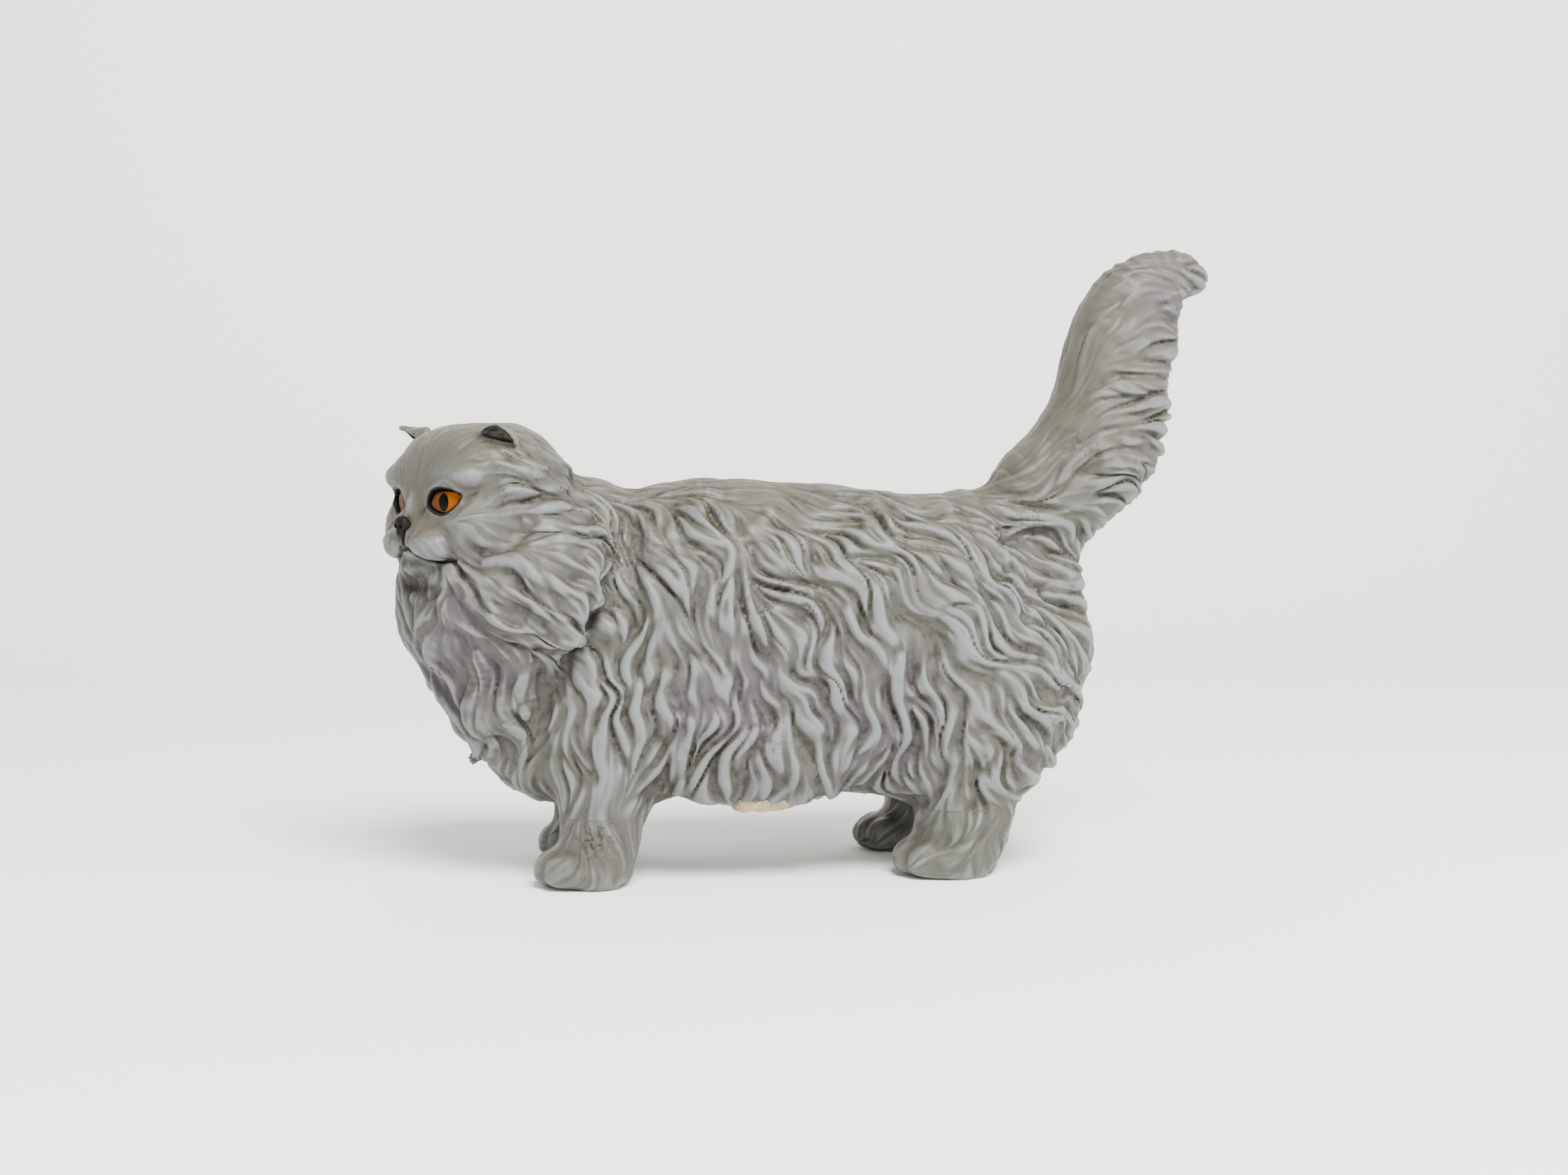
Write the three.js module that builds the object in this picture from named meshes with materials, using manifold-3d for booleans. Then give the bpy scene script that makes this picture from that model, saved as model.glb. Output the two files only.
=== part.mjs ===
// Long-haired cat figurine in bisque ceramic, standing with its tail raised and its head turned to its left.
// It is slip-cast in several moulds and luted together: a hollow torso, a hollow head with its mane, a hollow
// tail, four legs and two ears. Enamel eyes with black pupils and a nose of enamel are set into the head,
// and a plaster plug closes the drain hole in the belly.
//
// Millimetres, +Z up. The cat faces -X and its left side is towards -Y. The origin is on the shelf, at the
// middle of the bounding box.

import * as THREE from "three";
import { mergeVertices } from "three/addons/utils/BufferGeometryUtils.js";
import Module from "manifold-3d";

const wasm = await Module();
wasm.setup();

// Driving dimensions.
const WALL = 4; // thickness of the cast shells
const GAP = 0.3; // clearance left at every luted joint
const LEG_TOP = 12; // height of the seats that the legs are luted to
const LEG_SPACING = 25; // between the middles of a left and a right leg
const HEAD_TURN = THREE.MathUtils.degToRad(35); // how far the head looks to the cat's left
const HEAD_CENTRE = [-55.5, -3, 65.3]; // middle of the skull
const VENT = { x: -10, y: -9, radius: 5.5, bottom: 13.2, top: 19.5 }; // the drain hole and its plug
const FAR = 200; // reaches past the whole figurine
const END_POWER = 4; // how blunt the ends of a long casting are
const TOP_POWER = 2.2; // how square a casting's section is above its middle
const UNDER_POWER = 3; // and below it

// Luted joints between the big castings: a point on each joint's plane, and its normal, which points away
// from the torso.
const NECK_JOINT = { point: [-38, 0, 50], normal: [-0.894, 0, 0.448] };
const TAIL_JOINT = { point: [41.5, 0, 63.5], normal: [0.2, 0, 0.98] };
const LEG_JOINT = { point: [0, 0, LEG_TOP], normal: [0, 0, -1] };
const TAIL_ROOT_FRONT = 24; // the tail's joint starts behind this x

// Sections of the long castings, each [x, z, half depth, half width], from one end to the other.
const TORSO = [
  [-61, 42, 21, 12],
  [-45, 39.8, 27.2, 16.5],
  [-32, 39.6, 26.7, 19.5],
  [-20, 41.2, 27.2, 20.5],
  [-5, 40.9, 27, 20.5],
  [10, 39.7, 26.8, 21],
  [24, 38.6, 26.6, 21.8],
  [35, 39.3, 25, 19.4],
  [43, 41.2, 21.4, 14.6],
  [49.4, 43.3, 15.6, 9.2],
];
const TAIL = [
  [38, 54, 11.8, 8.8],
  [41.5, 63.5, 11.9, 8.8],
  [47.7, 69.4, 11.6, 8.6],
  [52.3, 75.6, 11.7, 8.4],
  [54.4, 82.5, 10.9, 8.1],
  [55.6, 89, 10.2, 7.7],
  [57.5, 95.6, 9.8, 7.1],
  [61, 101.4, 8.3, 6.1],
  [66.5, 104.8, 5.2, 4.6],
  [72.5, 104, 2.4, 2.4],
];
const FRONT_LEG = [
  [-37.3, 22, 7.5, 7.8],
  [-38.2, 9, 6.9, 7],
  [-40.8, -4, 6.5, 6.4],
];
const HIND_LEG = [
  [28, 24, 11, 8.4],
  [24.7, 9, 9, 7.5],
  [20.2, -5, 7.1, 6.6],
];

// Egg-shaped masses, each { at: middle, half: half sizes along x, y and z }.
const SKULL = { at: HEAD_CENTRE, half: [15.4, 16.6, 12.4] };
const MANE = { at: [-50.8, 0, 48.5], half: [21.8, 23.6, 19.3] };
const BIB = { at: [-53.3, -1.7, 35.2], half: [12.6, 15.8, 15.8] };
const NAPE = { at: [-39.5, 0, 54], half: [15, 15, 13.6] };
const CHEST = { at: [-48, 0, 26], half: [9.8, 12.4, 12.4] };
const SHOULDER = { at: [-37.5, 9.8, 25], half: [9.8, 9.8, 19] }; // y is that of the right side
const HAUNCH = { at: [25.5, 10.6, 28.4], half: [15.6, 11.6, 18.6] }; // y is that of the right side
const SKIRT = { at: [-12, 15, 22.5], half: [19, 5.6, 9.8] }; // y is that of the right side
const PAW = { half: [7.9, 7.2, 5], height: 2.6 };

// Parts of the head, in the head's own frame: it looks along +x, and +y is the cat's left.
const MUZZLE = { at: [12.4, 0, -8.6], half: [6.3, 9.2, 6] };
const NOSE = { at: [17.3, 0, -4.6], half: [1.5, 1.9, 1.8] };
const EYE = { at: [12.9, 7.3, -0.8], half: [2.5, 3.5, 2.4], swing: 0.45 }; // the left one
const PUPIL = { at: [14.7, 7.9, -0.8], half: [0.9, 0.8, 1.5], swing: 0.45 };
const EAR = { at: [7.2, 12.4, 9.4], half: [1.7, 3.8, 3.4], swing: 0.75, tilt: -0.2 };

// Where each leg's toes are, and which side it is on: -1 is the cat's left.
const LEGS = {
  front_left_leg: { toe: -49.3, side: -1, shank: FRONT_LEG },
  front_right_leg: { toe: -47.7, side: 1, shank: FRONT_LEG },
  hind_left_leg: { toe: 12.3, side: -1, shank: HIND_LEG },
  hind_right_leg: { toe: 10.3, side: 1, shank: HIND_LEG },
};

// Colours and finishes.
const BISQUE = { color: 0xaeb0aa, roughness: 0.62, metalness: 0 };
const AMBER_ENAMEL = { color: 0xc8741f, roughness: 0.3, metalness: 0 };
const BLACK_ENAMEL = { color: 0x120f0d, roughness: 0.25, metalness: 0 };
const BROWN_ENAMEL = { color: 0x4a4038, roughness: 0.5, metalness: 0 };
const PLASTER = { color: 0xb09a74, roughness: 0.95, metalness: 0 };

// --- Solids -----------------------------------------------------------------------------------------------

// A geometry's closed surface as a manifold-3d solid.
function solid(geometry) {
  const bare = geometry.clone();
  bare.deleteAttribute("normal");
  bare.deleteAttribute("uv");
  const merged = mergeVertices(bare, 1e-4);
  return new wasm.Manifold(
    new wasm.Mesh({
      numProp: 3,
      vertProperties: merged.attributes.position.array,
      triVerts: new Uint32Array(merged.index.array),
    }),
  );
}

// A solid back as a geometry.
function geometryOf(made) {
  const mesh = made.getMesh();
  const positions = new Float32Array(mesh.numVert * 3);
  for (let i = 0; i < mesh.numVert; i++) {
    positions.set(mesh.vertProperties.subarray(i * mesh.numProp, i * mesh.numProp + 3), i * 3);
  }
  const geometry = new THREE.BufferGeometry();
  geometry.setAttribute("position", new THREE.BufferAttribute(positions, 3));
  geometry.setIndex(new THREE.BufferAttribute(new Uint32Array(mesh.triVerts), 1));
  geometry.computeVertexNormals();
  return geometry;
}

// A rounded body through sections in the XZ plane. It starts as a sphere with its poles along x: each ring
// of the sphere becomes one section. Its underside is squarer than its top, and shrink takes the same
// amount off every half size.
function loft(sections, { around = 28, along = 20, shrink = 0, side = 0 } = {}) {
  const path = new THREE.CatmullRomCurve3(sections.map(([x, z]) => new THREE.Vector3(x, side, z)));
  const sizes = new THREE.CatmullRomCurve3(
    sections.map(([, , deep, wide]) => new THREE.Vector3(deep, wide, 0)),
  );
  const across = new THREE.Vector3(0, 1, 0);
  const ball = new THREE.SphereGeometry(1, around, along).rotateZ(-Math.PI / 2);
  const position = ball.attributes.position;
  for (let i = 0; i < position.count; i++) {
    const [s, y, z] = [position.getX(i), position.getY(i), position.getZ(i)];
    const t = THREE.MathUtils.clamp((s + 1) / 2, 0, 1);
    const end = Math.max(0, 1 - s ** END_POWER) ** (1 / END_POWER);
    const power = z < 0 ? UNDER_POWER : TOP_POWER;
    const round = (Math.abs(y) ** power + Math.abs(z) ** power) ** (1 / power) || 1;
    const size = sizes.getPoint(t);
    const up = path.getTangent(t).cross(across).normalize();
    const place = path.getPoint(t);
    place.addScaledVector(up, (z / round) * end * Math.max(1, size.x - shrink));
    place.addScaledVector(across, (y / round) * end * Math.max(1, size.y - shrink));
    position.setXYZ(i, place.x, place.y, place.z);
  }
  return solid(ball);
}

// An egg-shaped mass, made smaller by shrink on every side.
function egg({ at, half }, { around = 22, along = 16, shrink = 0 } = {}) {
  const ball = new THREE.SphereGeometry(1, around, along).rotateX(Math.PI / 2);
  ball.scale(...half.map((size) => size - shrink));
  return solid(ball.translate(...at));
}

// The same mass on the cat's left (-1) or right (1) side.
function onSide({ at: [x, y, z], half }, side) {
  return { at: [x, side * y, z], half };
}

// Everything on one side of a joint's plane, half a gap from it: 1 is the outer side, -1 the torso's.
function beyond({ point, normal }, direction) {
  const up = new THREE.Vector3(...normal).normalize().multiplyScalar(direction);
  const block = new THREE.BoxGeometry(FAR, FAR, FAR).translate(0, 0, (FAR + GAP) / 2);
  block.applyQuaternion(new THREE.Quaternion().setFromUnitVectors(new THREE.Vector3(0, 0, 1), up));
  return solid(block.translate(...point));
}

// A box from one corner to the other.
function box(low, high) {
  const size = high.map((value, i) => value - low[i]);
  const middle = high.map((value, i) => (value + low[i]) / 2);
  return solid(new THREE.BoxGeometry(...size).translate(...middle));
}

// An upright round bar.
function bar({ x, y, radius, bottom, top }) {
  const cylinder = new THREE.CylinderGeometry(radius, radius, top - bottom, 20).rotateX(Math.PI / 2);
  return solid(cylinder.translate(x, y, (bottom + top) / 2));
}

function union(solids) {
  return solids.reduce((all, next) => all.add(next));
}

// The largest separate body of a solid: a cut can leave crumbs, which are dropped.
function largest(made) {
  return made.decompose().reduce((a, b) => (a.volume() > b.volume() ? a : b));
}

// An egg-shaped part of the head, on its left (1) or right (-1), grown by grow on every side.
function headEgg({ at: [x, y, z], half, swing = 0, tilt = 0 }, { side = 1, grow = 0, along = 12 } = {}) {
  const ball = new THREE.SphereGeometry(1, along + 4, along).rotateX(Math.PI / 2);
  ball.scale(...half.map((size) => size + grow));
  ball.rotateY(tilt).rotateZ(side * swing).translate(x, side * y, z);
  return solid(ball.rotateZ(Math.PI + HEAD_TURN).translate(...HEAD_CENTRE));
}

// --- Castings ---------------------------------------------------------------------------------------------

// The hollow torso with the roots of its limbs, cut at its luted joints.
function torso() {
  const masses = [loft(TORSO), loft(TAIL), egg(CHEST)];
  for (const side of [-1, 1]) {
    for (const mass of [SHOULDER, HAUNCH, SKIRT]) {
      masses.push(egg(onSide(mass, side)));
    }
  }
  const tailSeat = beyond(TAIL_JOINT, 1).intersect(box([TAIL_ROOT_FRONT, -FAR, 0], [FAR, FAR, FAR]));
  const outside = union(masses).subtract(tailSeat);
  const cavity = loft(TORSO, { shrink: WALL, around: 20, along: 14 });
  const drain = bar({ ...VENT, bottom: 0, top: VENT.top + WALL });
  const shell = outside.subtract(cavity).subtract(drain);
  return largest(shell.intersect(beyond(NECK_JOINT, -1)).intersect(beyond(LEG_JOINT, -1)));
}

// The hollow head with the mane. Its sockets take the enamel of the eyes and the nose.
function head() {
  const masses = [SKULL, MANE, BIB, NAPE];
  const outside = union(masses.map((mass) => egg(mass))).add(headEgg(MUZZLE));
  const cavity = union(masses.map((mass) => egg(mass, { shrink: WALL, around: 14, along: 10 })));
  const sockets = [headEgg(NOSE, { grow: GAP })];
  for (const side of [-1, 1]) {
    sockets.push(headEgg(EYE, { side, grow: GAP }), headEgg(PUPIL, { side, grow: GAP }));
  }
  return largest(outside.intersect(beyond(NECK_JOINT, 1)).subtract(cavity).subtract(union(sockets)));
}

// The hollow tail, open at its root.
function tail() {
  const cavity = loft(TAIL, { shrink: WALL, around: 12, along: 12 });
  return largest(loft(TAIL, { along: 22 }).subtract(cavity).intersect(beyond(TAIL_JOINT, 1)));
}

// A leg with its paw, standing on a flat sole.
function leg({ toe, side, shank }) {
  const y = (side * LEG_SPACING) / 2;
  const paw = egg({ at: [toe + PAW.half[0], y, PAW.height], half: PAW.half });
  const room = box([-FAR, -FAR, 0], [FAR, FAR, FAR]);
  const whole = loft(shank, { around: 20, along: 14, side: y }).add(paw);
  return whole.intersect(beyond(LEG_JOINT, 1)).intersect(room);
}

// An ear, cut where it sits on the skull.
function ear(side) {
  const seat = egg({ at: SKULL.at, half: SKULL.half.map((size) => size + GAP) });
  return largest(headEgg(EAR, { side }).subtract(seat));
}

function eye(side) {
  return headEgg(EYE, { side }).subtract(headEgg(PUPIL, { side, grow: GAP, along: 8 }));
}

function pupil(side) {
  return headEgg(PUPIL, { side, along: 8 });
}

function ventPlug() {
  return bar({ ...VENT, radius: VENT.radius - GAP });
}

// --- Assembly ---------------------------------------------------------------------------------------------

const figurine = new THREE.Group();

function add(name, made, finish) {
  const mesh = new THREE.Mesh(geometryOf(made), new THREE.MeshStandardMaterial(finish));
  mesh.name = name;
  figurine.add(mesh);
}

add("torso", torso(), BISQUE);
add("head", head(), BISQUE);
add("tail", tail(), BISQUE);
for (const [name, place] of Object.entries(LEGS)) {
  add(name, leg(place), BISQUE);
}
for (const [name, side] of [["left", 1], ["right", -1]]) {
  add(`${name}_ear`, ear(side), BISQUE);
  add(`${name}_eye`, eye(side), AMBER_ENAMEL);
  add(`${name}_pupil`, pupil(side), BLACK_ENAMEL);
}
add("nose", headEgg(NOSE), BROWN_ENAMEL);
add("vent_plug", ventPlug(), PLASTER);

// The origin is under the middle of the bounding box.
const bounds = new THREE.Box3().setFromObject(figurine);
figurine.position.set(-(bounds.min.x + bounds.max.x) / 2, -(bounds.min.y + bounds.max.y) / 2, -bounds.min.z);

export default figurine;
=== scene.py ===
"""Looks of the long-haired bisque cat figurine: its castings are sculpted as one form with carved fur,
then cut apart along the luted joints, and the enamel eyes, the nose and the belly's plaster are set in.

Lengths in the sculpt are millimetres in the CAD frame: +Z up, the cat faces -X, its left is towards -Y.
"""
import itertools
import math

import bpy
import numpy as np
from mathutils import Matrix, Vector


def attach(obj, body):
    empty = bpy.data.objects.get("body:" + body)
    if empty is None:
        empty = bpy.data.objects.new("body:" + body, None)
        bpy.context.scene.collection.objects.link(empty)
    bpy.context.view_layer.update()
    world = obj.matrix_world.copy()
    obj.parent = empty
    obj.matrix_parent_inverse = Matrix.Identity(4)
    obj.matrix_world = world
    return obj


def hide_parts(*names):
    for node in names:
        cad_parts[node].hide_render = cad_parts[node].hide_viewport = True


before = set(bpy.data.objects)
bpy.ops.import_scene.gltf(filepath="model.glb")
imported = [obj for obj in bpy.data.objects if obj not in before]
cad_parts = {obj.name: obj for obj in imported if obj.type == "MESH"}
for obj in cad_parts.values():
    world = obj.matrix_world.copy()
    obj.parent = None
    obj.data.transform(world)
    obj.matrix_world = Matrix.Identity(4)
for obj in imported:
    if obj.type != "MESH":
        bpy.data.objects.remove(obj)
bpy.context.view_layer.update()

MM = 0.001
SEED = 11

# --- Where things are ---

HEAD_TURN = math.radians(35)  # how far the head looks to the cat's left
HEAD_CENTRE = np.array([-55.5, -3.0, 65.3])
FORWARD = np.array([-math.cos(HEAD_TURN), -math.sin(HEAD_TURN), 0.0])
LEFTWARD = np.array([math.sin(HEAD_TURN), -math.cos(HEAD_TURN), 0.0])
HEAD_AXES = np.stack([FORWARD, LEFTWARD, [0.0, 0.0, 1.0]])  # rows: the head's own x, y and z

LEG_TOP = 12.0  # height of the seats that the legs are luted to
NECK_JOINT = {"point": (-37.7, 0.0, 50.0), "normal": (-0.894, 0.0, 0.448)}
TAIL_JOINT = {"point": (41.8, 0.0, 63.5), "normal": (0.2, 0.0, 0.98)}
TAIL_ROOT_FRONT = 24.3

# Sections of the long forms, each (x, z, half depth, half width).
TORSO = (
    (-61, 42, 21, 12),
    (-45, 39.8, 27.0, 16.5),
    (-32, 39.6, 26.5, 19.5),
    (-20, 41.2, 27.0, 20.5),
    (-5, 40.9, 26.8, 20.5),
    (10, 39.7, 26.6, 21),
    (24, 38.8, 26.6, 21.6),
    (34.4, 40.9, 24.6, 18.8),
    (41.2, 43.4, 17.8, 13.6),
    (47.8, 46.4, 12.4, 8.4),
)
TAIL = (
    (38, 54, 11.5, 8.6),
    (41.5, 63.5, 11.5, 8.6),
    (47.7, 69.4, 11.1, 8.4),
    (52.3, 75.6, 11.2, 8.2),
    (54.4, 82.5, 10.4, 7.8),
    (55.6, 89, 9.9, 7.4),
    (57.5, 95.6, 9.5, 6.8),
    (61, 101.4, 8.1, 5.9),
    (66.5, 104.8, 5.2, 4.4),
    (72.3, 104, 2.4, 2.3),
)
FRONT_LEG = ((-37.3, 22, 7.4, 7.6), (-38.2, 9, 6.8, 6.8), (-40.8, -4, 6.4, 6.2))
HIND_LEG = ((28, 24, 10.4, 8.0), (24.3, 9, 8.2, 7.0), (19.4, -5, 6.5, 6.2))
LEGS = {
    "front_left_leg": {"toe": -49.3, "side": -1, "shank": FRONT_LEG},
    "front_right_leg": {"toe": -47.7, "side": 1, "shank": FRONT_LEG},
    "hind_left_leg": {"toe": 12.3, "side": -1, "shank": HIND_LEG},
    "hind_right_leg": {"toe": 10.3, "side": 1, "shank": HIND_LEG},
}
LEG_SPACING = 25.0

# The mane's back edge, seen from the side: x at each height z.
MANE_EDGE = ((18, -60.5), (22.5, -56.5), (27.5, -51.5), (31.8, -48.3), (38.1, -44.5), (44.4, -40.7),
             (48.1, -38.2), (54.4, -36.9), (59.5, -37.1), (64.5, -39.4), (69.5, -42.5), (80, -50))

# How the fur lies: (x, distance from the middle, z, angle, relief). An angle of 0 points to the tail and
# -90 straight down, seen from the side; relief is the height of the carving.
FUR_BODY = (
    # back
    (-28, 0, 66, -8, 0.25), (-10, 0, 68, -4, 0.3), (8, 0, 67, -4, 0.3), (24, 0, 66, 8, 0.3),
    # upper flank
    (-28, 14, 60, -64, 0.8), (-18, 14, 60, -58, 0.85), (-8, 14, 60, -50, 0.85), (4, 14, 60, -44, 0.85),
    (16, 14, 60, -36, 0.8), (28, 13, 60, -24, 0.8), (38, 10, 60, -4, 0.8),
    # middle of the flank
    (-30, 20, 48, -80, 1.0), (-20, 20, 48, -76, 1.0), (-10, 20, 48, -66, 1.0), (0, 20, 48, -60, 1.0),
    (12, 20, 48, -52, 1.0), (24, 20, 48, -46, 1.0), (35, 18, 48, -38, 1.1), (46, 13, 50, -30, 1.1),
    # lower flank
    (-30, 20, 36, -90, 0.9), (-20, 20, 36, -84, 0.9), (-8, 20, 36, -76, 0.9), (4, 20, 36, -70, 0.9),
    (16, 20, 36, -64, 1.0), (28, 20, 36, -54, 1.1), (40, 16, 36, -42, 1.2), (50, 9, 38, -32, 1.2),
    # skirt
    (-28, 19, 22, -92, 0.9), (-16, 19, 22, -88, 0.9), (-4, 19, 22, -86, 0.9), (8, 19, 22, -84, 0.9),
    (20, 20, 22, -88, 0.9), (32, 18, 22, -70, 1.0), (43, 13, 24, -48, 1.1),
    # belly and rump
    (-10, 0, 13, -5, 0.2), (10, 0, 13, -5, 0.2), (54, 0, 50, -70, 0.9), (53, 0, 35, -75, 1.0),
    (48, 0, 22, -80, 0.9),
    # legs
    (-38, 18, 28, -94, 0.75), (-38, 18, 14, -92, 0.5), (-39, 16, 6, -98, 0.25), (-46, 14, 4, -160, 0.1),
    (30, 19, 18, -92, 0.8), (26, 18, 9, -104, 0.5), (17, 14, 4, -165, 0.12),
    # chest
    (-52, 9, 20, -100, 0.6), (-56, 0, 22, -95, 0.6),
    # tail
    (38, 0, 74, 55, 0.1), (44, 0, 86, 74, 0.1), (49, 0, 99, 66, 0.1), (60, 0, 109, 0, 0.2),
    (44, 8, 68, 34, 0.4), (52, 8, 68, -12, 0.7), (58, 5, 69, -48, 0.8), (46, 8, 78, 52, 0.25),
    (54, 8, 80, 27, 0.45), (62, 4, 82, 8, 0.6), (49, 7, 92, 54, 0.25), (56, 7, 93, 26, 0.4),
    (63, 4, 92, 12, 0.55), (54, 6, 103, 30, 0.3), (61, 6, 102, 10, 0.4), (69, 4, 101, -20, 0.5),
    # mane and bib
    (-58, 20, 50, -32, 1.2), (-50, 23, 50, -38, 1.3), (-43, 23, 52, -62, 1.2), (-39, 22, 57, -75, 1.0),
    (-62, 18, 44, -55, 1.2), (-54, 22, 42, -62, 1.3), (-46, 22, 42, -102, 1.2), (-42, 21, 46, -98, 1.1),
    (-64, 12, 38, -80, 1.2), (-58, 17, 34, -92, 1.2), (-52, 18, 32, -112, 1.1), (-67, 4, 44, -88, 1.1),
    (-65, 0, 34, -90, 1.1), (-60, 4, 26, -84, 0.9),
)
# The same on the head, in its own frame, where +x is forward.
FUR_HEAD = (
    (13, 3, 7, 42, 0.12), (6, 0, 12, 12, 0.12), (0, 0, 12.4, 0, 0.15), (8, 9, 9, 22, 0.12),
    (-10, 0, 9, -25, 0.25), (14, 8, -1, 0, 0.04), (11.5, 11.5, 1, 8, 0.12), (11.5, 12, -4, -4, 0.2),
    (16, 0, -1, 60, 0.03), (15, 4, -8, -10, 0.03), (14, 0, -12, -60, 0.15), (15, 3, -14.5, -70, 0.7),
    (8, 14, -4, -4, 0.6), (9, 13, -9, -14, 0.6), (2, 17, -2, -3, 1.0), (2, 17, -8, -12, 1.1),
    (-6, 17, 0, -10, 1.1), (-6, 18, -7, -22, 1.2), (0, 15, 6, -16, 0.7), (-8, 13, 6, -28, 0.7),
    (3, 13, 9, 0, 0.1),
)


# --- Noise ---

TILE = 32
LATTICE = np.random.default_rng(SEED).standard_normal((8, TILE**3)).astype(np.float32)


def noise(points, cell, channel=0):
    """Smooth noise of about -1 to 1, with features of about one cell."""
    q = np.asarray(points, np.float32) / np.float32(cell)
    low = np.floor(q)
    t = q - low
    t = t * t * (3 - 2 * t)
    a = low.astype(np.int64) % TILE
    b = (a + 1) % TILE
    grid = LATTICE[channel]
    ax, bx, ay, by = a[:, 0] * TILE**2, b[:, 0] * TILE**2, a[:, 1] * TILE, b[:, 1] * TILE
    total = 0.0
    for x, wx in ((ax, 1 - t[:, 0]), (bx, t[:, 0])):
        for y, wy in ((ay, 1 - t[:, 1]), (by, t[:, 1])):
            edge = grid[x + y + a[:, 2]] * (1 - t[:, 2]) + grid[x + y + b[:, 2]] * t[:, 2]
            total = total + edge * (wx * wy)
    return total


def blended(table, low, cell, points):
    """Values at points, blended between the cells of a table, whose last axis holds the values."""
    sides = np.array(table.shape[:-1])
    strides = np.array([int(np.prod(sides[i + 1:])) for i in range(len(sides))])
    q = (points - np.asarray(low, np.float32)) / np.float32(cell)
    base = np.clip(np.floor(q).astype(np.int64), 0, sides - 2)
    t = np.clip(q - base, 0, 1).astype(np.float32)
    index = base @ strides
    flat = table.reshape(-1, table.shape[-1])
    total = 0.0
    for corner in itertools.product((0, 1), repeat=len(sides)):
        weight = 1.0
        for axis, far in enumerate(corner):
            weight = weight * (t[:, axis] if far else 1 - t[:, axis])
        total = total + flat[index + int(np.dot(corner, strides))] * weight[:, None]
    return total


# --- Form ---


def join(a, b, k):
    """Smooth union: the two forms flow together over about k."""
    h = np.maximum(k - np.abs(a - b), 0) / k
    return np.minimum(a, b) - h * h * k / 4


def cut(a, b, k):
    """a without b, with an edge rounded over about k."""
    return -join(-a, b, k)


def egg(p, at, half):
    half = np.array(half, np.float32)
    q = (p - np.array(at, np.float32)) / half
    r = np.sqrt((q * q).sum(1)) + 1e-6
    s = np.sqrt(((q / half) ** 2).sum(1)) + 1e-6
    return r * (r - 1) / s


BAND = 6.0  # how far from a small form it still matters


def altered(f, p, at, half, k, change=join):
    """f with an egg joined on or cut away, worked out only near the egg."""
    near = close_to(p, np.array(at, np.float32), max(half) + k + BAND)
    f[near] = change(f[near], egg(p[near], at, half), k)
    return f


def grid_points(axes):
    return np.stack(np.meshgrid(*axes, indexing="ij"), -1).reshape(-1, len(axes))


def one_sided(h):
    """Points of the right side moved to the left one, which the face's forms are given for."""
    return np.stack([h[:, 0], np.abs(h[:, 1]), h[:, 2]], 1)


def bar(p, a, b, thick, thin):
    """A round bar from a to b, with its radius at each end."""
    way = b - a
    t = np.clip((p - a) @ way / (way @ way), 0, 1)
    return np.sqrt(((p - a - t[:, None] * way) ** 2).sum(1)) - thick - t * (thin - thick)


def bars(p, line, radius):
    """Bars along a line of points, with the radius at each of them."""
    best = np.full(len(p), np.inf)
    for a, b, thick, thin in zip(line[:-1], line[1:], radius[:-1], radius[1:]):
        best = np.minimum(best, bar(p, a, b, thick, thin))
    return best


def line_distance(p, line):
    return bars(p, np.array(line, float), np.zeros(len(line)))


def close_to(p, middle, reach):
    """Which of the points lie within reach of a middle."""
    return np.flatnonzero(((p - middle) ** 2).sum(1) < reach * reach)


def catmull_rom(rows, t):
    """The smooth curve through rows at t, where t = 0 is at the second row. The rows follow on in a ring."""
    i = t.astype(int)
    u = (t - i)[:, None]
    a, b, c, d = (rows[(i + n) % len(rows)] for n in range(4))
    return 0.5 * (2 * b + (c - a) * u + (2 * a - 5 * b + 4 * c - d) * u**2 + (3 * b - a - 3 * c + d) * u**3)


def spline(points, count):
    """A smooth curve through points, from the first to the last."""
    rows = np.asarray(points, float)
    rows = np.vstack([2 * rows[0] - rows[1], rows, 2 * rows[-1] - rows[-2]])
    return catmull_rom(rows, np.linspace(0, len(rows) - 3 - 1e-9, count))


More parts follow.
